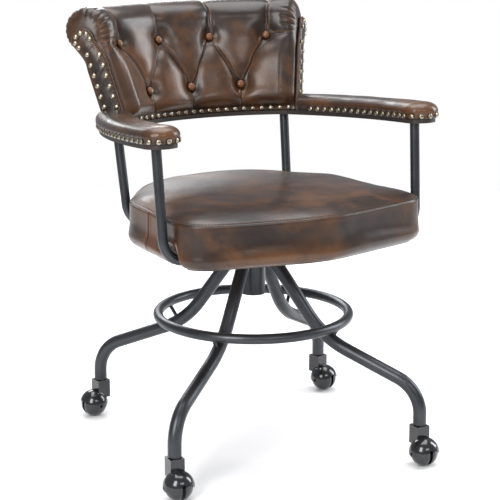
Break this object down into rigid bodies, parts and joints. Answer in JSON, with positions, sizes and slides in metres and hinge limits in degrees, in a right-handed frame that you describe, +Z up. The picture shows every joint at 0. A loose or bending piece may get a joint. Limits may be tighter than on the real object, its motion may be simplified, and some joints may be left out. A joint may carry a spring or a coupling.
{
  "type": "swivel office chair",
  "caption": "Low-back swivel desk chair with tufted rolled leather back, padded arms on tube hoops, domed seat, splayed tube legs with foot ring and hooded ball casters",
  "frame": {"origin": "on the floor, on the seat's vertical swivel axis", "axes": "+Z up, the sitter faces -Y, +X to the sitter's left as seen from behind the chair is the chair's right-hand arm in a front view"},
  "size_m": [0.631, 0.6835, 0.832],
  "materials": {
    "gunmetal_tube": "satin gunmetal paint",
    "black_plastic": "matte black moulded plastic",
    "nylon": "plain dark nylon",
    "gloss_black": "glossy black moulded plastic",
    "zinc_steel": "plain zinc-plated steel",
    "board_wood": "plain plywood",
    "dark_board": "dark stained board",
    "brown_leather": "antique brown leather, glossy, rubbed lighter at edges",
    "button_leather": "antique tan-brown leather",
    "antique_brass": "antique brass, dark in the recesses"
  },
  "bodies": {
    "base": {"hub_tube": "gunmetal_tube", "hub_plug": "black_plastic", "upper_bush": "nylon", "lower_bush": "nylon", "leg_a": "gunmetal_tube", "leg_b": "gunmetal_tube", "leg_c": "gunmetal_tube", "leg_d": "gunmetal_tube", "foot_ring": "gunmetal_tube", "ring_struts": "gunmetal_tube", "insert_a": "black_plastic", "insert_b": "black_plastic", "insert_c": "black_plastic", "insert_d": "black_plastic"},
    "caster_body_a": {"caster_a": "gloss_black", "stem_a": "zinc_steel", "axle_a": "zinc_steel"},
    "caster_body_b": {"caster_b": "gloss_black", "stem_b": "zinc_steel", "axle_b": "zinc_steel"},
    "caster_body_c": {"caster_c": "gloss_black", "stem_c": "zinc_steel", "axle_c": "zinc_steel"},
    "caster_body_d": {"caster_d": "gloss_black", "stem_d": "zinc_steel", "axle_d": "zinc_steel"},
    "wheel_body_a_left": {"wheel_a_left": "gloss_black"},
    "wheel_body_a_right": {"wheel_a_right": "gloss_black"},
    "wheel_body_b_left": {"wheel_b_left": "gloss_black"},
    "wheel_body_b_right": {"wheel_b_right": "gloss_black"},
    "wheel_body_c_left": {"wheel_c_left": "gloss_black"},
    "wheel_body_c_right": {"wheel_c_right": "gloss_black"},
    "wheel_body_d_left": {"wheel_d_left": "gloss_black"},
    "wheel_body_d_right": {"wheel_d_right": "gloss_black"},
    "seat": {"spindle": "zinc_steel", "spindle_clip": "zinc_steel", "swivel_plate": "gunmetal_tube", "seat_straps": "gunmetal_tube", "seat_bolts": "zinc_steel", "front_hoop": "gunmetal_tube", "rear_hoop": "gunmetal_tube", "post_plugs": "zinc_steel", "rail_screws": "zinc_steel", "seat_board": "board_wood", "seat_cushion": "brown_leather", "rail_board": "dark_board", "arm_pad_left": "brown_leather", "arm_pad_right": "brown_leather", "back_shell": "board_wood", "back_cushion": "brown_leather", "back_outer": "brown_leather", "facing_left": "brown_leather", "facing_right": "brown_leather", "tuft_buttons": "button_leather", "facing_nails": "antique_brass", "arm_nails": "antique_brass", "back_nails": "antique_brass"}
  },
  "joints": [
    {"name": "seat_swivel", "type": "hinge", "parent": "base", "child": "seat", "pos_m": [0, 0, 0.35], "axis": [0, 0, 1], "continuous": true},
    {"name": "caster_swivel_a", "type": "hinge", "parent": "base", "child": "caster_body_a", "pos_m": [-0.28121, -0.19111, 0.08], "axis": [0, 0, 1], "continuous": true},
    {"name": "wheel_spin_a_left", "type": "hinge", "parent": "caster_body_a", "child": "wheel_body_a_left", "pos_m": [-0.28298, -0.20802, 0.025], "axis": [0.9945, -0.1045, 0], "continuous": true},
    {"name": "wheel_spin_a_right", "type": "hinge", "parent": "caster_body_a", "child": "wheel_body_a_right", "pos_m": [-0.28298, -0.20802, 0.025], "axis": [0.9945, -0.1045, 0], "continuous": true},
    {"name": "caster_swivel_b", "type": "hinge", "parent": "base", "child": "caster_body_b", "pos_m": [0.19111, -0.28121, 0.08], "axis": [0, 0, 1], "continuous": true},
    {"name": "wheel_spin_b_left", "type": "hinge", "parent": "caster_body_b", "child": "wheel_body_b_left", "pos_m": [0.19022, -0.29818, 0.025], "axis": [0.9986, -0.0523, 0], "continuous": true},
    {"name": "wheel_spin_b_right", "type": "hinge", "parent": "caster_body_b", "child": "wheel_body_b_right", "pos_m": [0.19022, -0.29818, 0.025], "axis": [0.9986, -0.0523, 0], "continuous": true},
    {"name": "caster_swivel_c", "type": "hinge", "parent": "base", "child": "caster_body_c", "pos_m": [0.28121, 0.19111, 0.08], "axis": [0, 0, 1], "continuous": true},
    {"name": "wheel_spin_c_left", "type": "hinge", "parent": "caster_body_c", "child": "wheel_body_c_left", "pos_m": [0.28561, 0.17469, 0.025], "axis": [0.9659, 0.2588, 0], "continuous": true},
    {"name": "wheel_spin_c_right", "type": "hinge", "parent": "caster_body_c", "child": "wheel_body_c_right", "pos_m": [0.28561, 0.17469, 0.025], "axis": [0.9659, 0.2588, 0], "continuous": true},
    {"name": "caster_swivel_d", "type": "hinge", "parent": "base", "child": "caster_body_d", "pos_m": [-0.19111, 0.28121, 0.08], "axis": [0, 0, 1], "continuous": true},
    {"name": "wheel_spin_d_left", "type": "hinge", "parent": "caster_body_d", "child": "wheel_body_d_left", "pos_m": [-0.20804, 0.27973, 0.025], "axis": [0.0872, -0.9962, 0], "continuous": true},
    {"name": "wheel_spin_d_right", "type": "hinge", "parent": "caster_body_d", "child": "wheel_body_d_right", "pos_m": [-0.20804, 0.27973, 0.025], "axis": [0.0872, -0.9962, 0], "continuous": true}
  ]
}
